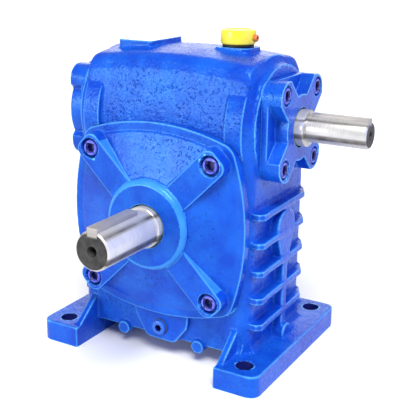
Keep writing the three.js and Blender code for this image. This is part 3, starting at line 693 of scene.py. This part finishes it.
def make_casing():
    shapes = [body_shell()]
    for side in (-1, 1):
        shapes += foot(side)
    for side in (RIGHT, LEFT):
        shapes += end_wall(side) + boss(side)
    shapes.append(moved(prism(rounded(15.9, 13.4, 6), 250, PLUG_PAD_Z + FACE_STEP), PLUG_X))
    shapes.append(moved(prism(rounded(16.7, 25.4, 3), 250, LIFT_PAD_Z + FACE_STEP), LIFT_X))
    left = [(-27, 52), (-24, 34), *arc(-9, 22, 7, 200, 270, 5)]
    right = [*arc(12, 22, 8, 270, 340, 5), (28, 30), (31, 52)]
    drain = left + right
    shapes.append(facing(prism(drain, 40, BODY_Y + 4.8), FRONT, 0))
    for side in (FRONT, BACK):
        shapes += [facing(moved(rod(5.8, 40, BODY_Y + 4), x, 16), side, 0) for x in (-38, 38)]
    flats = [
        (2, LIFT_PAD_Z, (LIFT_X - 20, -30, 262), (LIFT_X + 20, 30, FAR)),
        (2, PLUG_PAD_Z, (PLUG_X - 20, -20, 261), (PLUG_X + 20, 20, FAR)),
        (0, BOSS_X, (BOSS_X - 2, -60, 148), (FAR, 60, 262)),
        (0, -BOSS_X, (-FAR, -60, 148), (2 - BOSS_X, 60, 262)),
    ]
    made = cast("casing", shapes, voxel=1.0, soften=3, flats=flats, thin=0.5)
    hole_x, hole_y, hole_r = FOOT_HOLE
    below_feet = box(-200, 200, -200, 200, -50, 0)
    oil_space = box(-60, 60, -43, 43, 23, WHEEL_Z)
    roof_space = box(-52, 52, -34, 34, WORM_Z, 247)
    breather_bore = moved(rod(10.3, 240, 270), PLUG_X)
    drain_bore = facing(moved(rod(5.2, 40, 60), DRAIN_X, DRAIN_Z), FRONT, 0)
    cover_seat = facing(prism(bulged(0.8), BODY_Y, BODY_Y + 10), FRONT, WHEEL_Z)
    cut(
        made,
        below_feet,
        facing(rod(CHAMBER_R, -60, 60, 128), FRONT, WHEEL_Z),
        facing(rod(TUNNEL_R, -95, 95, 96), RIGHT, WORM_Z),
        oil_space,
        roof_space,
        breather_bore,
        drain_bore,
        cover_seat,
        *[moved(rod(hole_r, -5, FOOT_Z + 5), sx * hole_x, sy * hole_y) for sx, sy in CORNERS],
        *[
            facing(moved(rod(SCREW_HOLE, 40, 60, 24), sx * COVER_SCREW, sy * COVER_SCREW), side, WHEEL_Z)
            for side in (FRONT, BACK)
            for sx, sy in CORNERS
        ],
        *[
            facing(moved(rod(SCREW_HOLE, 72, 100, 24), sx * WORM_SCREW, sy * WORM_SCREW), side, WORM_Z)
            for side in (RIGHT, LEFT)
            for sx, sy in CORNERS
        ],
    )
    dress(made, "casing", "housing", "painted_cast_iron", PAINT, BARE_IRON, RECESS_SHADE_PAINT)
    repaint(made, BARE_IRON, on_lift_pad)
    # painted shade: the walls of the foot holes go near black
    repaint(made, RECESS_SHADE_PAINT, in_foot_hole)
    shade(made)


# ---------------------------------------------------------------- wheel covers
def bulged(offset=0.0):
    """A square with bulging sides and round corners, grown or shrunk by an offset."""
    side_r, side_middle, corner, corner_r = 195 + offset, 112, 58.3, 15 + offset
    meets = math.degrees(math.atan2(corner, corner + side_middle))
    points = []
    for turn in np.radians((0, 90, 180, 270)):
        quarter = arc(-side_middle, 0, side_r, -meets, meets, 14)
        quarter += arc(corner, corner, corner_r, meets, 90 - meets, 8)[1:-1]
        cos, sin = math.cos(turn), math.sin(turn)
        points += [(x * cos - y * sin, x * sin + y * cos) for x, y in quarter]
    return points


def tapering(outline, stations):
    return loft([[(x * s, y * s, z) for x, y in outline] for z, s in stations])


def cover_core(top, dish):
    """The round middle of a wheel cover, from the spigot in the chamber out to the hub."""
    spigot = CHAMBER_R - 0.3
    inside = [(WHEEL_BORE, 26), (44, 26), (44, 51), (60, 51), (60, 44), (spigot, 44), (spigot, BODY_Y + 4)]
    edge = [(33.4 + x, top - 4.8 + y) for x, y in arc(0, 0, 4.9, 0, 90, 8)]
    hub = [*edge, (0, top + FACE_STEP)]
    return lathe([*inside, *dish, *hub, (0, 46.1), (WHEEL_BORE, 46.1)], 128)


def takes_painted_highlight(c, n):
    """The rounded edge of the hub, and the sides of the arms that face upwards, which take a paler blue as a
    painted highlight.
    """
    away = math.hypot(c.x, c.z - WHEEL_Z)
    hub_edge = c.y < -73.4 and 33 < away < 39
    arm_side = c.y < -62 and away < 80 and abs(n.y) < 0.7 and n.z > 0.3
    return hub_edge or arm_side


def make_output_cover():
    base = BODY_Y + SEAM
    shapes = [
        prism(bulged(0.3), base, COVER_RIM),
        tapering(bulged(-8), [(54, 1), (61.2, 1), (71.4, 0.5)]),
        cover_core(COVER_HUB, [(38.3, BODY_Y + 4)]),
    ]
    shapes += [arm(sx, sy, 23.9, 91.2, 54, COVER_FACE + 0.2) for sx, sy in CORNERS]
    shapes = [facing(shape, FRONT, WHEEL_Z) for shape in shapes]
    flats = [(1, -COVER_HUB, (-45, -FAR, WHEEL_Z - 45), (45, -76, WHEEL_Z + 45))]
    made = cast("output_cover_casting", shapes, voxel=0.7, soften=2, flats=flats, thin=0.6)
    bearing_seat, oil_room = (WHEEL_BORE, 20, 46.1), (30, 40, 63)
    seal_seat, mouth = (27.8, 60, 74.2), (MOUTH_R, 70, COVER_HUB + 5)
    cuts = [rod(radius, z0, z1, 96) for radius, z0, z1 in (bearing_seat, oil_room, seal_seat, mouth)]
    low, high = COVER_HUB - 0.4, COVER_HUB + 0.6
    cuts.append(lathe([(0, low), (MOUTH_R, low), (MOUTH_R + 1, high), (0, high)]))
    for sx, sy in CORNERS:
        x, y = sx * COVER_SCREW, sy * COVER_SCREW
        cuts.append(moved(rod(9, COVER_FACE - 8.8, 80), x, y))
        cuts.append(moved(rod(SCREW_HOLE, 40, 80, 32), x, y))
    cut(made, *[facing(shape, FRONT, WHEEL_Z) for shape in cuts])
    dress(made, "casing", "output_cover", "painted_cast_iron", COVER_PAINT, FLAT_PAINT, HIGHLIGHT_PAINT)
    # painted highlight: the hub's edge and the arms' upward sides in paler blue
    repaint(made, HIGHLIGHT_PAINT, takes_painted_highlight)
    repaint(made, FLAT_PAINT, lambda c, n: n.y < -FLAT and c.y < 0.05 - COVER_HUB)
    shade(made)


def make_rear_cover():
    top = reach("rear_cover")[1].y
    shapes = [
        prism(rounded(75.3, 75.3, 18, 12), BODY_Y + SEAM, COVER_RIM),
        cover_core(top, [(62, BODY_Y + 4), (62, COVER_RIM + 0.2), (38.3, 66.4)]),
    ]
    shapes = [facing(shape, BACK, WHEEL_Z) for shape in shapes]
    flats = [(1, top, (-45, top - 2, WHEEL_Z - 45), (45, FAR, WHEEL_Z + 45))]
    made = cast("rear_cover_casting", shapes, voxel=0.9, soften=4, flats=flats, thin=0.6)
    cuts = [rod(WHEEL_BORE, 20, 46.1, 96), rod(30, 40, 64, 96)]
    holes = [(sx * COVER_SCREW, sy * COVER_SCREW) for sx, sy in CORNERS]
    cuts += [moved(rod(SCREW_HOLE, 40, 80, 32), x, y) for x, y in holes]
    cuts += [moved(rod(8.4, COVER_RIM - 0.4, 80, 48), x, y) for x, y in holes]
    cut(made, *[facing(shape, BACK, WHEEL_Z) for shape in cuts])
    dress(made, "casing", "rear_cover", "painted_cast_iron", COVER_PAINT, FLAT_PAINT)
    repaint(made, FLAT_PAINT, lambda c, n: n.y > FLAT and c.y > top - 0.05)
    shade(made)


# ---------------------------------------------------------------- worm covers
def make_worm_cover(side, node):
    """The open cover of the input end, or the closed one opposite, each with four lugs."""
    is_open = side == RIGHT
    base = BOSS_X + SEAM
    half, corner = WORM_COVER
    outline = rounded(half + 0.2, half + 0.2, corner + 0.2)
    face = WORM_FACE + FACE_STEP
    shapes = [prism(outline, base, WORM_RECESS)]
    for sx, sy in CORNERS:
        lug = bar((0, 0), (sx * 34, sy * 34), 24.4, base, face)
        shapes.append(shape_of(meet("lug", lug, prism(outline, base - 5, face + 5))))
    hub_r, hub_top = (27, face) if is_open else (41.5, WORM_FACE - 1.3 + FACE_STEP)
    shapes.append(rod(hub_r, base, hub_top, 96))
    shapes.append(rod(TUNNEL_R - 0.3, 78.3, base + 1, 96))
    shapes = [facing(shape, side, WORM_Z) for shape in shapes]
    sign = 1 if is_open else -1
    low = (98, -60, WORM_Z - 60) if is_open else (-FAR, -60, WORM_Z - 60)
    high = (FAR, 60, WORM_Z + 60) if is_open else (-98, 60, WORM_Z + 60)
    flats = [(0, sign * WORM_FACE, low, high)]
    made = cast(f"{node}_casting", shapes, voxel=0.6, soften=2, flats=flats, thin=0.7)
    if is_open:
        cuts = [rod(WORM_BORE, 70, 98.2, 96), rod(16.4, 90, 110, 96)]
    else:
        cuts = [rod(WORM_BORE, 70, 92, 96)]
    for sx, sy in CORNERS:
        x, y = sx * WORM_SCREW, sy * WORM_SCREW
        cuts.append(moved(rod(8.2, 93, 110), x, y))
        cuts.append(moved(rod(SCREW_HOLE, 80, 110, 32), x, y))
    cut(made, *[facing(shape, side, WORM_Z) for shape in cuts])
    dress(made, "casing", node, "painted_cast_iron", COVER_PAINT, FLAT_PAINT)
    repaint(made, FLAT_PAINT, lambda c, n: abs(n.x) > FLAT and abs(c.x) > WORM_FACE - 0.05)
    shade(made)


# ---------------------------------------------------------------- shafts
def keyed(radius, width, top, start, end):
    """The keyway's cutter and the key, in a shaft's own frame."""
    floor = radius * 0.69
    ease = 0.12
    slot = box(-width / 2 - ease, width / 2 + ease, floor - 0.2, radius + 6, start - ease, end + 5)
    key = box(-width / 2, width / 2, floor, top, start, end - 0.6)
    return slot, key


def centre_hole(end, depth, pilot, mouth):
    """A drilled hole in a shaft's end, of a pilot radius that opens to the mouth's."""
    cone = end - depth + 2
    beyond = end + 0.5
    return lathe([(0, end - depth), (pilot, cone), (pilot, end - mouth), (mouth, beyond), (0, beyond)])


def make_output_shaft():
    seat, radius, shoulder = WHEEL_SEAT, 16, 83
    end = -reach("output_shaft")[0].y
    back = -reach("output_shaft")[1].y
    collar = 23
    outline = [
        (0, back),
        (seat - 1, back),
        (seat, back + 1),
        (seat, -27.4),
        (collar, -27.4),
        (collar, -22.6),
        (19, -22.6),
        (19, 22.3),
        (seat, 22.3),
        (seat, shoulder - 0.8),
        (seat - 0.8, shoulder),
        (radius, shoulder),
        (radius, end - 1.8),
        (radius - 0.3, end - 1.1),
        (radius - 1.6, end),
        (0, end),
    ]
    slot, key = keyed(radius, width=10, top=18.7, start=end - 54, end=end)
    wheel_keyway = box(-5.2, 5.2, 14, 30, -20, 24)
    made = solid("output_shaft_turned", facing(lathe(outline, 160), FRONT, WHEEL_Z))
    cuts = (slot, wheel_keyway, centre_hole(end, depth=12, pilot=2.6, mouth=4.6))
    cut(made, *[facing(shape, FRONT, WHEEL_Z) for shape in cuts])
    dress(made, "output", "output_shaft", "turned_steel", ALONG_Y, END_STEEL)

    def on_end(c, n):
        return c.y < 12 - end and (n.y < -0.98 or math.hypot(c.x, c.z - WHEEL_Z) < 4.8)

    repaint(made, END_STEEL, on_end)
    shade(made)
    made = bevelled(solid("output_key_ground", facing(key, FRONT, WHEEL_Z)), 0.5, 3)
    shade(dress(made, "output", "output_key", "turned_steel", KEY_STEEL))


def worm_thread(turns, steps):
    """The trapezoid of the thread, swept along its helix about Z."""
    module, pitch_r = 4, 20
    lead = math.pi * module
    root, tip = 14.4, pitch_r + module
    ease, flank = 0.25, math.tan(math.radians(20))
    half_root, half_tip = (lead / 4 - ease - (r - pitch_r) * flank for r in (root, tip))
    section = ((root, -half_root), (tip, -half_tip), (tip, half_tip), (root, half_root))
    rings = []
    count = int(turns * steps)
    for i in range(count + 1):
        angle = (i / count - 0.5) * turns * 2 * math.pi
        advance = angle / (2 * math.pi) * lead
        rings.append([(r * math.sin(angle), -r * math.cos(angle), w + advance) for r, w in section])
    return loft(rings)


def make_worm_shaft():
    seat, radius, shoulder = WORM_SEAT, 11, 108.5
    end = reach("worm_shaft")[1].x
    back = reach("worm_shaft")[0].x
    bearing = 61.2
    outline = [
        (0, back),
        (seat - 1, back),
        (seat, back + 1),
        (seat, -bearing),
        (19, -bearing),
        (19, 8 - bearing),
        (15.2, -46),
        (15.2, 46),
        (19, bearing - 8),
        (19, bearing),
        (seat, bearing),
        (seat, shoulder - 0.8),
        (seat - 0.8, shoulder),
        (radius, shoulder),
        (radius, end - 1.4),
        (radius - 0.3, end - 0.9),
        (radius - 1.3, end),
        (0, end),
    ]
    slot, key = keyed(radius, width=7, top=13, start=end - 48, end=end)
    made = solid("worm_shaft_turned", facing(lathe(outline, 128), RIGHT, WORM_Z))
    combine(made, solid("tool", facing(worm_thread(turns=4.2, steps=48), RIGHT, WORM_Z)), "UNION")
    cuts = (slot, centre_hole(end, depth=10, pilot=2, mouth=3.6))
    cut(made, *[facing(shape, RIGHT, WORM_Z) for shape in cuts])
    dress(made, "worm", "worm_shaft", "turned_steel", ALONG_X, END_STEEL)

    def on_end(c, n):
        return c.x > end - 10 and (n.x > 0.98 or math.hypot(c.y, c.z - WORM_Z) < 3.8)

    repaint(made, END_STEEL, on_end)
    shade(made)
    made = bevelled(solid("input_key_ground", facing(key, RIGHT, WORM_Z)), 0.4, 3)
    shade(dress(made, "worm", "input_key", "turned_steel", KEY_STEEL))


# ---------------------------------------------------------------- screws, seals and plugs
def hexagon(radius):
    return arc(0, 0, radius, 0, 300, 5)


def screw_shape():
    """A socket head cap screw along Z with its head's underside at 0."""
    head = [(6.2, 0), (6.5, 0.3), (6.5, 7.0), (6.3, 7.6), (5.8, 8.0)]
    shank = [(0, -19), (3.2, -19), (3.9, -18), (3.9, 0)]
    made = solid("tool_screw", lathe([*shank, *head, (0, 8)], 48))
    mouth = [(0, 6.8), (3.8, 6.8), (4.6, 8.1), (0, 8.1)]
    cut(made, prism(hexagon(3.9), 3.2, 9), lathe(mouth, 48))
    return shape_of(made)


def in_socket(point, middle_point):
    """Whether a point of a screw is in its socket, whichever way the screw runs."""
    across = sorted(abs(point[i] - middle_point[i]) for i in range(3))[1]
    return across < 4.2 and math.dist(point, middle_point) > 5


def make_screws():
    shape = screw_shape()
    sets = (
        ("output", FRONT, WHEEL_Z, COVER_SCREW, "y", -1),
        ("rear", BACK, WHEEL_Z, COVER_SCREW, "y", 1),
        ("input", RIGHT, WORM_Z, WORM_SCREW, "x", 1),
        ("blind", LEFT, WORM_Z, WORM_SCREW, "x", -1),
    )
    for cover, side, height, spacing, axis, sign in sets:
        for i, (sx, sy) in enumerate(CORNERS, 1):
            node = f"{cover}_cover_screw_{i}"
            top = getattr(reach(node)[1 if sign > 0 else 0], axis) * sign
            placed = moved(shape, sx * spacing, sy * spacing, top - 8)
            made = solid(f"{node}_turned", facing(placed, side, height))
            dress(made, "casing", node, "screw_steel", SCREW_PAINT, RECESS_SHADE_PAINT)
            centre = middle(node) - ORIGIN
            # painted shade in the hex socket
            repaint(made, RECESS_SHADE_PAINT, lambda c, n: in_socket(c, centre))
            shade(made)


def make_seal(node, side, height, shaft, outer, w0, w1):
    """A lip seal on a shaft, between two distances out from the casting's middle."""
    lip = shaft + 0.3
    outline = [
        (outer - 0.1, w0),
        (outer - 0.1, w1 - 0.5),
        (outer - 0.6, w1),
        (outer - 2.6, w1),
        (outer - 3.2, w1 - 0.9),
        (lip + 2.2, w1 - 0.9),
        (lip + 1.4, w1),
        (lip + 0.6, w1),
        (lip, w1 - 0.8),
        (lip + 1.6, w1 - 2.6),
        (lip + 2, w0),
    ]
    made = solid(f"{node}_moulded", facing(lathe(outline, 96), side, height))
    shade(dress(made, "casing", node, "seal_rubber", RUBBER), 25)


def make_breather():
    low = PLUG_PAD_Z + 2.6
    top = reach("breather_cap")[1].z
    wall = [(14.0, low), (14.4, low + 0.5), (14.6, low + 1.2), (14.6, top - 2.0)]
    crest = [(14.3, top - 1.0), (13.5, top - 0.35), (12.4, top)]
    dimple = [(10.6, top), (10.0, top - 0.6), (0, top - 0.5)]
    outline = [(0, 249), (9.6, 249), (9.6, low), *wall, *crest, *dimple]
    made = solid("breather_cap_moulded", moved(lathe(outline, 96), PLUG_X))
    sideways = mapped(rod(2.3, 8, 20, 32), lambda x, y, w: (w + PLUG_X, x, y + low + 5))
    cut(made, sideways)
    shade(dress(made, "casing", "breather_cap", "cap_plastic", YELLOW))
    ring = [(11.8 + x, PLUG_PAD_Z + 1.25 + y) for x, y in arc(0, 0, 1.3, 0, 348, 29)]
    made = solid("breather_o_ring", moved(lathe(ring, 72), PLUG_X))
    shade(dress(made, "casing", "breather_seal", "seal_rubber", RUBBER), 60)
    stem = [(0, 8.4), (2, 8.4), (2, 14.9), (2.9, 14.9)]
    tip = [(2.9, 16.8), (2.5, 17.5), (1.5, 17.6), (1.3, 15.8), (0, 15.8)]
    pin = mapped(lathe(stem + tip, 40), lambda x, y, w: (w + PLUG_X, x, y + low + 5))
    made = solid("breather_vent_moulded", pin)
    dress(made, "casing", "breather_vent", "vent_plastic", VENT, VENT_HOLE_SHADE)
    # painted shade: the bottom of the vent's hole goes near black
    repaint(made, VENT_HOLE_SHADE, lambda c, n: n.x > 0.9 and math.hypot(c.y, c.z - low - 5) < 1.4)
    shade(made)


def make_drain():
    seat = BODY_Y + 4.5 + 1.7
    shank = [(0, 45), (4.8, 45), (4.8, seat)]
    head = [(6.4, seat), (6.4, seat + 2.1), (6.1, seat + 2.7), (5.5, seat + 3), (0, seat + 3)]
    made = solid("drain_plug_turned", facing(moved(lathe(shank + head, 48), DRAIN_X, DRAIN_Z), FRONT, 0))
    cut(made, facing(moved(prism(hexagon(3.3), seat - 3, seat + 5), DRAIN_X, DRAIN_Z), FRONT, 0))
    dress(made, "casing", "drain_plug", "screw_steel", PLUG_PAINT, RECESS_SHADE_PAINT)

    def in_hole(c, n):
        return math.hypot(c.x - DRAIN_X, c.z - DRAIN_Z) < 3.2 and c.y > -seat - 2.9

    # painted shade in the plug's hex socket
    repaint(made, RECESS_SHADE_PAINT, in_hole)
    shade(made)


# ---------------------------------------------------------------- carried-over nodes
def dress_frame():
    """Materials for the CAD nodes that stay: gaskets, bearings, wheel and spacer."""
    looks = {
        "gasket": PAPER,
        "washer": PAPER,
        "cup": RACE_STEEL,
        "cone": RACE_STEEL,
        "rollers": RACE_STEEL,
        "wheel_rim": BRONZE,
        "wheel_hub": IRON,
        "wheel_key": KEY_STEEL,
        "wheel_spacer": KEY_STEEL,
    }
    for name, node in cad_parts.items():
        for word, material in looks.items():
            if word in name:
                give(node, material)


# ---------------------------------------------------------------- stage, lights and camera
def make_stage():
    size = 6  # half the floor's side, in metres
    mesh = bpy.data.meshes.new("floor")
    corners = [(sx * size, sy * size, 0) for sx, sy in CORNERS]
    mesh.from_pydata(corners, [], [(3, 2, 1, 0)])
    floor = bpy.data.objects.new("floor", mesh)
    scene.collection.objects.link(floor)
    m = Nodes("pale_floor")
    m.shader.inputs["Base Color"].default_value = (0.92, 0.92, 0.92, 1)
    m.shader.inputs["Roughness"].default_value = 0.9
    give(floor, m.material)
    world = bpy.data.worlds.new("studio")
    world.use_nodes = True
    world.node_tree.nodes["Background"].inputs["Color"].default_value = (1, 1, 1, 1)
    world.node_tree.nodes["Background"].inputs["Strength"].default_value = 0.34
    scene.world = world


def direction(azimuth, elevation):
    """A direction from angles in radians: azimuth 0 is in front and turns towards +X."""
    level = math.cos(elevation)
    return Vector((math.sin(azimuth) * level, -math.cos(azimuth) * level, math.sin(elevation)))


def softbox(name, azimuth, elevation, spread, strength, colour=(1, 1, 1)):
    """A far, soft light; its direction and its spread are in degrees."""
    data = bpy.data.lights.new(name, "SUN")
    data.energy = strength
    data.color = colour
    data.angle = math.radians(spread)
    made = bpy.data.objects.new(name, data)
    towards = direction(math.radians(azimuth), math.radians(elevation))
    made.rotation_euler = towards.to_track_quat("Z", "Y").to_euler()
    scene.collection.objects.link(made)


def make_camera():
    azimuth, elevation, roll = (math.radians(a) for a in (30.22, 16.81, 0.52))
    distance = 0.744
    target = (Vector((3.9, 0, 127.8)) + ORIGIN) * MM
    back = direction(azimuth, elevation)
    right = Vector((math.cos(azimuth), math.sin(azimuth), 0))
    up = back.cross(right)
    data = bpy.data.cameras.new("camera")
    data.lens, data.sensor_width = 75.35, 36
    data.shift_x, data.shift_y = 0.0085, -0.001
    made = bpy.data.objects.new("camera", data)
    turned_right = right * math.cos(roll) + up * math.sin(roll)
    turned_up = up * math.cos(roll) - right * math.sin(roll)
    place = target + back * distance
    made.matrix_world = Matrix(
        [(turned_right[i], turned_up[i], back[i], place[i]) for i in range(3)] + [(0, 0, 0, 1)]
    )
    scene.collection.objects.link(made)
    scene.camera = made


make_camera()
make_stage()
softbox("key", azimuth=-29, elevation=8, spread=26, strength=1.6)
softbox("overhead", azimuth=32, elevation=57, spread=28, strength=3.4)
softbox("rim", azimuth=208, elevation=20, spread=36, strength=0.5)
softbox("fill", azimuth=95, elevation=16, spread=60, strength=1.4, colour=(0.08, 0.2, 1.0))
scene.view_settings.view_transform = "Standard"

make_casing()
make_output_cover()
make_rear_cover()
make_worm_cover(RIGHT, "input_cover")
make_worm_cover(LEFT, "blind_cover")
make_output_shaft()
make_worm_shaft()
make_screws()
make_seal("output_seal", FRONT, WHEEL_Z, WHEEL_SEAT, outer=27.65, w0=66, w1=74)
make_seal("input_seal", RIGHT, WORM_Z, WORM_SEAT, outer=23.65, w0=91, w1=98)
make_breather()
make_drain()
dress_frame()
